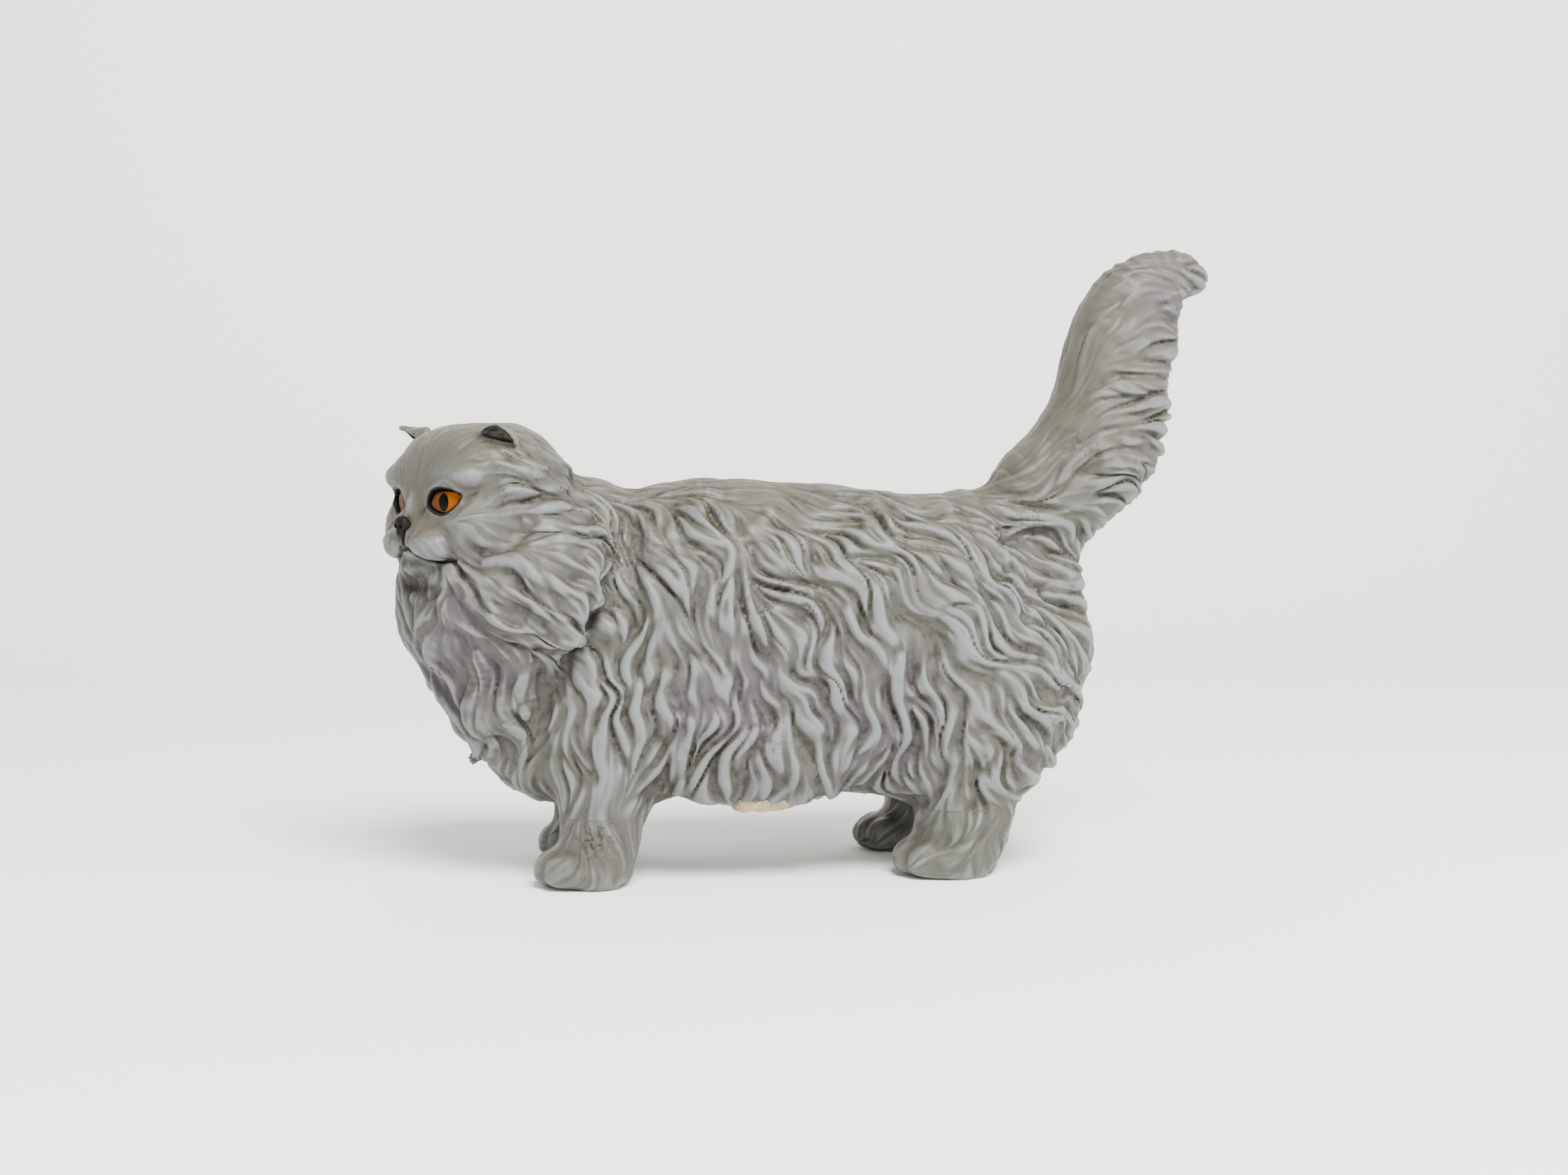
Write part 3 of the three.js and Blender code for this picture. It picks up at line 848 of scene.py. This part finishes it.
def painted_lines(points):
    """Distance from the edge of the lines painted on the face, below zero inside them."""
    m = one_sided(to_head(points))
    distance = np.full(len(m), LINE_FAR)
    near = np.flatnonzero(m[:, 0] > 9)
    q = m[near]
    front = q[:, 1:]
    d = np.minimum(line_distance(front, MOUTH) - 0.13, line_distance(front, PHILTRUM) - 0.4)
    d = np.minimum(d, line_distance(front, TEAR) - 0.10)
    local = (q - PUPIL) @ EYE_AXES.T
    eye = np.where(np.abs(local[:, 2]) < 3, eye_distance(local[:, :2]) - 0.36, LINE_FAR)
    distance[near] = np.minimum(np.minimum(d, eye), LINE_FAR)
    return distance


def spots(points, table):
    """How strong a stain is at each point. The table's rows are its middles, radiuses and strengths."""
    total = np.zeros(len(points))
    for *middle, radius, strength in table:
        away = ((points - middle) ** 2).sum(1) / radius**2
        total = np.maximum(total, strength * np.exp(-away))
    return total


# Painted shade in deep places, on both sides: under the chin and at the lips, in the head's
# frame, and behind the mane.
FACE_SHADOWS = ((15.5, 2.2, -14.3, 3.0, 0.9), (17.9, 0, -7.2, 1.5, 0.85))
NECK_SHADOW = ((-38.5, 20, 41, 2.6, 0.5),)


def shadows(points):
    """How dark the painted shade is in deep places: in the ears, by the chin and nose and behind the mane."""
    m = one_sided(to_head(points))
    total = np.maximum(spots(m, FACE_SHADOWS), spots(one_sided(points), NECK_SHADOW))
    q = (m - EAR_MIDDLE) @ EAR_AXES.T
    # painted shade in the ear's opening, fading out over its rim
    inside = np.clip((0.33 - ear_hollow(q)) / 0.3, 0, 1) * (np.abs(q[:, 2] - 0.6) < 2.4)
    return np.maximum(total, inside)


# Where the ware is tinged with lavender: (x, z, radius, strength), seen from the side.
LAVENDER = ((-62, 38, 14, 0.9), (-20, 30, 16, 0.8), (5, 26, 16, 0.7), (-50, 52, 10, 0.4), (66, 103, 9, 1.0),
            (30, 45, 12, 0.35), (-25, 55, 10, 0.3))
# Where brown soil clings: (x, y, z, radius, strength).
SOIL = ((-46.8, -17.5, 74.6, 2.6, 1.0), (-39.5, -19.5, 8.6, 3.2, 1.0), (-47, -17, 12, 2.2, 0.6),
        (-20, -8, 67, 4.5, 0.7), (8, -10, 65, 5.0, 0.6), (-33, -17, 58, 5.0, 0.6), (-4, -20, 47, 3.0, 0.8),
        (-12, -21, 26, 5.0, 0.6), (30, -19, 20, 4.0, 0.6), (36, -10, 62, 5.0, 0.6), (47, -8, 74, 3.5, 0.6))


def carve(mesh, flow):
    """Raises the fur on a mesh, and stores what its colours follow."""
    points, normals = read(mesh, "co") / MM, read(mesh, "normal")
    points = points + normals * fur_height(points, flow)[:, None]
    points[:, 2] = np.maximum(points[:, 2], 0.0)
    mesh.vertices.foreach_set("co", np.asarray(points * MM, np.float32).ravel())
    mesh.update()
    normals = read(mesh, "normal")
    store(mesh, "hollow", hollows(mesh, points, normals, NARROW))
    store(mesh, "valley", hollows(mesh, points, normals, WIDE))
    store(mesh, "line", painted_lines(points))
    store(mesh, "shadow", shadows(points))
    store(mesh, "lavender", spots(points[:, ::2], LAVENDER))
    store(mesh, "soil", spots(points, SOIL))
    on_tail = np.clip((points[:, 2] - 62) / 10, 0, 1) * (points[:, 0] > 20)
    store(mesh, "above", normals[:, 2] + 0.45 * on_tail)


# --- Castings ---

# The size of the grid cells that each casting is meshed on, before its quads are cut into four.
TORSO_CELL, HEAD_CELL, TAIL_CELL, LEG_CELL, EAR_CELL = 0.8, 0.56, 0.56, 0.5, 0.28
EARS = (("left_ear", 1), ("right_ear", -1))
FAR = 200.0  # reaches past the whole figurine
EAR_ROOM = 7.0  # reaches past an ear
EAR_SEAT = np.array([7.7, 12.1, 9.9])  # a point of the seam between the left ear and the skull
EAR_SEAT_NORMAL = np.array([0.22, 0.45, 0.87])
LENS_RINGS = 14
NOSE_CELL, PLASTER_CELL = 0.14, 0.3
GLANCE = 0.95  # how far outwards the right pupil is from the left one's mirrored place
NOSE_OFFSET = -0.35  # the nose sits a little to the cat's right
PLASTER_MIDDLE = (-10.0, -11.6, 14.0)
PLASTER_RADIUS = 6.2


def block(name, low, high):
    bpy.ops.mesh.primitive_cube_add(size=1)
    made = bpy.context.object
    made.name = name
    low, high = Vector(low), Vector(high)
    made.data.transform(Matrix.Translation((low + high) / 2 * MM) @ Matrix.Diagonal((*((high - low) * MM), 1)))
    return made


def stood(made, place, up):
    """A block turned so that its z is up, and moved by place."""
    turn = Vector(up).to_track_quat("Z", "Y").to_matrix().to_4x4()
    made.data.transform(Matrix.Translation(Vector(place) * MM) @ turn)
    return made


def beyond(name, joint):
    """A block that fills the side of a joint's plane away from the torso."""
    made = block(name, (-FAR / 2, -FAR / 2, 0), (FAR / 2, FAR / 2, FAR))
    return stood(made, joint["point"], joint["normal"])


def trimmed(obj, *cuts):
    """Cuts an object by other solids: (operation, solid) pairs, in turn."""
    for operation, solid in cuts:
        modifier = obj.modifiers.new("cut", "BOOLEAN")
        modifier.operation = operation
        modifier.solver = "MANIFOLD"
        modifier.object = solid
    applied(obj)
    for _, solid in cuts:
        bpy.data.meshes.remove(solid.data)
    obj.data.set_sharp_from_angle(angle=math.radians(55))
    return obj


def casting(name, low, high, step, flow):
    """The part of the figurine inside a box, with its fur carved, before it is cut at the joints."""
    values, axes = sampled(figure_form, low, high, step)
    vertices, quads = refined(*surface(values, axes, step))
    obj = new_object(name, mesh_of(name, settle(vertices, figure_form), quads))
    carve(obj.data, flow)
    return obj


def castings(flow):
    torso = casting("torso_casting", (-60, -28, 9), (60, 28, 74), TORSO_CELL, flow)
    tail_room = block("tail_room", (TAIL_ROOT_FRONT, -FAR, 0), (FAR, FAR, FAR))
    trimmed(tail_room, ("INTERSECT", beyond("tail", TAIL_JOINT)))
    trimmed(torso, ("DIFFERENCE", beyond("neck", NECK_JOINT)), ("DIFFERENCE", tail_room),
            ("DIFFERENCE", block("low", (-FAR, -FAR, -FAR), (FAR, FAR, LEG_TOP))))
    pieces = {"torso": torso}
    head = casting("head_casting", (-79, -30, 14), (-26, 30, 82), HEAD_CELL, flow)
    ears = [("DIFFERENCE", ear_block(name, side)) for name, side in EARS]
    trimmed(head, ("INTERSECT", beyond("neck", NECK_JOINT)), *ears)
    pieces["head"] = head
    tail = casting("tail_casting", (TAIL_ROOT_FRONT + 0.2, -14, 56), (77, 14, 113), TAIL_CELL, flow)
    pieces["tail"] = trimmed(tail, ("INTERSECT", beyond("tail", TAIL_JOINT)))
    for leg, place in LEGS.items():
        y = place["side"] * LEG_SPACING / 2
        x = place["toe"]
        piece = casting(leg + "_casting", (x - 4, y - 13, -2), (x + 30, y + 13, 16), LEG_CELL, flow)
        pieces[leg] = trimmed(piece, ("DIFFERENCE", block("high", (-FAR, -FAR, LEG_TOP), (FAR, FAR, FAR))))
    for name, side in EARS:
        middle = from_head(EAR_MIDDLE * (1, side, 1))
        piece = casting(name + "_casting", middle - EAR_ROOM, middle + EAR_ROOM, EAR_CELL, flow)
        pieces[name] = trimmed(piece, ("INTERSECT", ear_block(name, side)))
    return pieces


def ear_block(name, side):
    """A block around an ear, from its seam on the skull outwards."""
    made = block(name, (-EAR_ROOM, -EAR_ROOM, 0), (EAR_ROOM, EAR_ROOM, EAR_ROOM))
    up = from_head(EAR_SEAT_NORMAL * (1, side, 1)) - HEAD_CENTRE
    return stood(made, from_head(EAR_SEAT * (1, side, 1)), up)


# --- Enamel and plaster ---


def lens(name, side, outline, lift, depth):
    """A filling of the eye: an outline in the eye's plane, domed like the eyeball, with a straight wall
    that goes depth deep."""
    rings = np.linspace(0.04, 1, LENS_RINGS)
    uv = (rings[:, None, None] * outline[None]).reshape(-1, 2)
    w = np.sqrt((EYE_RADIUS + lift) ** 2 - (uv * uv).sum(1)) - EYE_RADIUS
    front = np.column_stack([uv, w])
    back = np.column_stack([outline, np.full(len(outline), w.min() - depth)])
    tip = np.array([[0, 0, lift]])
    end = np.array([[outline[:, 0].mean(), outline[:, 1].mean(), w.min() - depth]])
    local = np.concatenate([front, back, tip, end])
    m = PUPIL + local @ EYE_AXES
    points = from_head(m * (1, side, 1))
    n, k = len(outline), LENS_RINGS
    faces = []
    for j in range(n):
        after = (j + 1) % n
        faces += [(i * n + j, (i + 1) * n + j, (i + 1) * n + after, i * n + after) for i in range(k)]
        faces.append((len(local) - 2, j, after))
        faces.append((k * n + after, k * n + j, len(local) - 1))
    if side < 0:
        faces = [face[::-1] for face in faces]
    mesh = bpy.data.meshes.new(name)
    mesh.from_pydata([tuple(point * MM) for point in points], [], faces)
    mesh.update()
    edge = -eye_distance(local[:, :2])
    store(mesh, "edge", edge)
    store(mesh, "outward", local[:, 0])
    store(mesh, "upward", local[:, 1])
    mesh.polygons.foreach_set("use_smooth", np.ones(len(mesh.polygons), bool))
    mesh.set_sharp_from_angle(angle=math.radians(50))
    return new_object(name, mesh)


def eyes():
    pieces = {}
    angles = np.linspace(0, 2 * math.pi, 40, endpoint=False)
    slit = np.stack([0.9 * np.cos(angles) * (1 - 0.25 * np.abs(np.sin(angles)) ** 3), 1.5 * np.sin(angles)], 1)
    for name, side in (("left", 1), ("right", -1)):
        pieces[f"{name}_eye"] = lens(f"{name}_eye_enamel", side, EYE_OUTLINE * 1.03, 0.0, 0.5)
        glance = slit + (GLANCE if side < 0 else 0.0, 0.0)
        pieces[f"{name}_pupil"] = lens(f"{name}_pupil_enamel", side, glance, 0.07, 0.15)
    return pieces


def sculpted(name, form, low, high, step):
    """A small piece meshed from its own form."""
    values, axes = sampled(form, low, high, step)
    vertices, quads = surface(values, axes, step)
    return new_object(name, mesh_of(name, settle(vertices, form), quads))


def nose_form(p):
    m = one_sided(to_head(p) - (0, NOSE_OFFSET, 0))
    f = egg(m, (17.95, 0, -4.1), (1.0, 1.5, 1.0))
    f = join(f, egg(m, (17.9, 0, -5.5), (0.9, 0.85, 1.4)), 0.7)
    f = join(f, egg(m, (17.8, 0.95, -4.6), (1.0, 0.72, 0.8)), 0.35)
    f = cut(f, egg(m, (18.75, 0.75, -4.8), (0.6, 0.4, 0.34)), 0.2)
    return cut(f, egg(m, (18.9, 0, -5.5), (0.5, 0.16, 1.2)), 0.25)


def plaster_form(p):
    """A smear of plaster over the drain hole, lumpy and thin at its edge."""
    off = p - np.array(PLASTER_MIDDLE, np.float32)
    lump = 0.9 * noise(p, 3.0, 2)
    patch = np.sqrt((off[:, 0] / 1.0) ** 2 + (off[:, 1] / 0.95) ** 2) - PLASTER_RADIUS - lump
    skin = smooth_form(p) - 0.75 - 0.25 * noise(p, 1.6, 3)
    f = -join(-patch, -skin, 1.2)
    return np.maximum(f, -skin - 2.4)


# --- Materials ---


class Material:
    """A material's nodes. Every value may be a number, a colour or another node's socket."""

    def __init__(self, name):
        self.made = bpy.data.materials.new(name)
        self.made.use_nodes = True
        self.nodes, self.links = self.made.node_tree.nodes, self.made.node_tree.links
        self.shader = self.nodes["Principled BSDF"]

    def put(self, node, values):
        """Sets a node's inputs: pairs of a socket's name or place, and its value."""
        for key, value in values:
            socket = node.inputs[key]
            if isinstance(value, bpy.types.NodeSocket):
                self.links.new(value, socket)
            else:
                socket.default_value = (*value, 1) if isinstance(value, tuple) else value

    def attribute(self, name):
        node = self.nodes.new("ShaderNodeAttribute")
        node.attribute_name = name
        return node.outputs["Fac"]

    def mixed(self, factor, a, b):
        """Colour b over colour a by factor."""
        node = self.nodes.new("ShaderNodeMix")
        node.data_type = "RGBA"
        self.put(node, ((0, factor), (6, a), (7, b)))
        return node.outputs[2]

    def ramp(self, source, low, high, start=0.0, end=1.0):
        """A smooth rise from start to end while the source goes from low to high."""
        node = self.nodes.new("ShaderNodeMapRange")
        node.interpolation_type = "SMOOTHSTEP"
        self.put(node, (("Value", source), ("From Min", low), ("From Max", high),
                        ("To Min", start), ("To Max", end)))
        return node.outputs["Result"]

    def noise(self, scale, detail=3.0, rough=0.6):
        place = self.nodes.new("ShaderNodeTexCoord")
        node = self.nodes.new("ShaderNodeTexNoise")
        self.put(node, (("Vector", place.outputs["Object"]), ("Scale", scale), ("Detail", detail),
                        ("Roughness", rough)))
        return node.outputs["Fac"]

    def maths(self, operation, a, b):
        node = self.nodes.new("ShaderNodeMath")
        node.operation = operation
        self.put(node, ((0, a), (1, b)))
        return node.outputs[0]

    def times(self, a, b):
        return self.maths("MULTIPLY", a, b)

    def finished(self, colour, roughness, specular, grain):
        """The material with its colour and gloss, and a fine bump: its scale, strength and depth."""
        scale, strength, depth = grain
        bump = self.nodes.new("ShaderNodeBump")
        self.put(bump, (("Strength", strength), ("Distance", depth), ("Height", self.noise(scale))))
        self.put(self.shader, (("Base Color", colour), ("Roughness", roughness), ("Specular IOR Level", specular),
                               ("Normal", bump.outputs["Normal"])))
        return self.made


BROWN_LINE = (0.006, 0.004, 0.003)


def bisque():
    """Unglazed white-grey ware, with painted shade in its hollows and painted highlights on its crests."""
    m = Material("bisque")
    hollow = m.maths("ADD", m.attribute("hollow"), m.times(m.attribute("valley"), 0.5))
    colour = m.mixed(m.ramp(m.noise(60, 2), 0.42, 0.62), (0.065, 0.063, 0.053), (0.059, 0.060, 0.046))
    lilac = m.times(m.attribute("lavender"), m.ramp(m.noise(110, 2), 0.25, 0.65))
    colour = m.mixed(lilac, colour, (0.062, 0.051, 0.068))
    dust = m.times(m.ramp(m.attribute("above"), 0.1, 0.9), 0.6)
    colour = m.mixed(dust, colour, (0.070, 0.059, 0.041))
    # painted highlight: the crests are made paler, less so where dust lies
    painted_highlight = m.times(m.ramp(hollow, 0.0, -0.36), m.maths("SUBTRACT", 1.0, dust))
    colour = m.mixed(painted_highlight, colour, (0.138, 0.148, 0.148))
    # painted shade: the hollows are made darker, in patches
    painted_shade = m.times(m.ramp(hollow, -0.06, 0.28), m.ramp(m.noise(420, 4, 0.7), 0.3, 0.75))
    colour = m.mixed(painted_shade, colour, (0.012, 0.009, 0.0055))
    # painted shade in the deep places: in the ears, under the chin, at the lips and behind the mane
    colour = m.mixed(m.attribute("shadow"), colour, (0.007, 0.005, 0.003))
    smears = m.times(m.ramp(m.noise(700, 5, 0.75), 0.62, 0.80), 0.55)
    colour = m.mixed(smears, colour, (0.032, 0.025, 0.017))
    specks = m.times(m.ramp(m.noise(38, 1), 0.63, 0.75), m.ramp(m.noise(2300, 1), 0.66, 0.70))
    colour = m.mixed(specks, colour, (0.012, 0.007, 0.003))
    crumbs = m.times(m.attribute("soil"), m.ramp(m.noise(1100, 3, 0.7), 0.50, 0.58))
    colour = m.mixed(crumbs, colour, (0.018, 0.010, 0.004))
    colour = m.mixed(m.ramp(m.attribute("line"), 0.12, -0.08), colour, BROWN_LINE)
    return m.finished(colour, m.ramp(m.noise(500, 4), 0.3, 0.7, 0.40, 0.60), 0.32, (2600, 0.25, 0.00008))


def amber_enamel():
    """The iris: deep amber at its inner side and bright orange outside, with a dark painted rim."""
    m = Material("amber_enamel")
    streaky, outward = m.noise(1500), m.attribute("outward")
    bright = m.mixed(streaky, (0.19, 0.051, 0.004), (0.25, 0.078, 0.007))
    deep = m.mixed(streaky, (0.080, 0.029, 0.009), (0.12, 0.044, 0.014))
    colour = m.mixed(m.ramp(outward, -0.9, 0.5), deep, bright)
    # the painted rim is thick above the inner corner and at the outer one, and thin elsewhere
    inner_top = m.maths("SUBTRACT", m.times(m.attribute("upward"), 0.32), m.times(outward, 0.13))
    thick = m.maths("MAXIMUM", m.maths("MAXIMUM", inner_top, m.times(outward, 0.14)), 0.3)
    rim = m.maths("SUBTRACT", m.attribute("edge"), thick)
    colour = m.mixed(m.ramp(rim, 0.10, -0.06), colour, BROWN_LINE)
    return m.finished(colour, 0.28, 0.02, (2200, 0.1, 0.00005))


def dark_enamel(name, low, high, roughness):
    m = Material(name)
    return m.finished(m.mixed(m.ramp(m.noise(900, 4), 0.35, 0.7), low, high), roughness, 0.1, (2200, 0.15, 0.00006))


def plaster():
    m = Material("plaster")
    colour = m.mixed(m.ramp(m.noise(300, 4, 0.7), 0.35, 0.7), (0.40, 0.34, 0.22), (0.28, 0.21, 0.11))
    colour = m.mixed(m.ramp(m.noise(1800, 2), 0.62, 0.70), colour, (0.14, 0.10, 0.05))
    return m.finished(colour, 0.92, 0.25, (1400, 0.6, 0.0002))


# --- Studio ---

CAMERA = {"azimuth": -9.0, "elevation": 3.0, "distance": 330.0, "target": (-5.0, 0.0, 49.2), "lens": 42.97}


def studio():
    azimuth, elevation = math.radians(CAMERA["azimuth"]), math.radians(CAMERA["elevation"])
    back = Vector((math.sin(azimuth) * math.cos(elevation), -math.cos(azimuth) * math.cos(elevation),
                   math.sin(elevation)))
    data = bpy.data.cameras.new("camera")
    data.lens = CAMERA["lens"]
    data.sensor_width = 36
    data.clip_start = 0.01
    camera = new_object("camera", data)
    camera.location = (Vector(CAMERA["target"]) + back * CAMERA["distance"]) * MM
    camera.rotation_euler = back.to_track_quat("Z", "Y").to_euler()
    bpy.context.scene.camera = camera

    start, bend = 0.35, 0.25  # where the paper starts to curve up, and the radius of the curve, in metres
    rows = [(-1.2, 0.0), (start, 0.0)]
    rows += [(start + bend * math.sin(a), bend - bend * math.cos(a)) for a in np.linspace(0.1, math.pi / 2, 12)]
    rows.append((start + bend, 1.5))
    vertices = [(x, y, z) for y, z in rows for x in (-2.0, 2.0)]
    faces = [(2 * i, 2 * i + 1, 2 * i + 3, 2 * i + 2) for i in range(len(rows) - 1)]
    mesh = bpy.data.meshes.new("backdrop")
    mesh.from_pydata(vertices, [], faces)
    mesh.polygons.foreach_set("use_smooth", np.ones(len(faces), bool))
    floor = new_object("backdrop", mesh)
    paper = Material("paper")
    shade = paper.mixed(paper.noise(2, 2), (0.87, 0.86, 0.84), (0.90, 0.89, 0.875))
    paper.put(paper.shader, (("Base Color", shade), ("Roughness", 0.9)))
    mesh.materials.append(paper.made)

    def light(name, place, target, energy, size, colour):
        lamp = bpy.data.lights.new(name, "AREA")
        lamp.energy, lamp.size, lamp.color = energy, size, colour
        holder = new_object(name, lamp)
        holder.location = place
        holder.rotation_euler = (Vector(place) - Vector(target)).to_track_quat("Z", "Y").to_euler()

    middle = (0, 0, 0.05)
    light("window", (0.1, -0.62, 0.85), middle, 30.0, 0.45, (1.0, 0.98, 0.95))
    light("fill", (0.7, -0.6, 0.35), middle, 9.0, 0.7, (0.95, 0.97, 1.0))
    world = bpy.data.worlds.new("room")
    world.use_nodes = True
    world.node_tree.nodes["Background"].inputs["Color"].default_value = (0.93, 0.93, 0.92, 1)
    world.node_tree.nodes["Background"].inputs["Strength"].default_value = 1.05
    bpy.context.scene.world = world


# --- Assembly ---


def place(obj, node, slot, material):
    obj.data.materials.clear()
    obj.data.materials.append(material)
    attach(obj, "root")
    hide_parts(node)


def assemble():
    flow = Flow()
    stone = bisque()
    for node, piece in castings(flow).items():
        place(piece, node, "bisque", stone)
    amber = amber_enamel()
    black = dark_enamel("black_enamel", (0.0006, 0.0005, 0.0004), (0.0016, 0.0013, 0.001), 0.25)
    brown = dark_enamel("brown_enamel", (0.004, 0.003, 0.0022), (0.014, 0.011, 0.008), 0.5)
    for node, piece in eyes().items():
        kind, material = ("amber_enamel", amber) if node.endswith("eye") else ("black_enamel", black)
        place(piece, node, kind, material)
    tip = from_head((17.9, NOSE_OFFSET, -4.8))
    place(sculpted("nose_enamel", nose_form, tip - 3.4, tip + 3.4, NOSE_CELL), "nose", "brown_enamel", brown)
    middle = np.array(PLASTER_MIDDLE)
    patch = sculpted("vent_plaster", plaster_form, middle - (9, 9, 3.6), middle + (9, 9, 5), PLASTER_CELL)
    place(patch, "vent_plug", "plaster", plaster())


studio()
assemble()
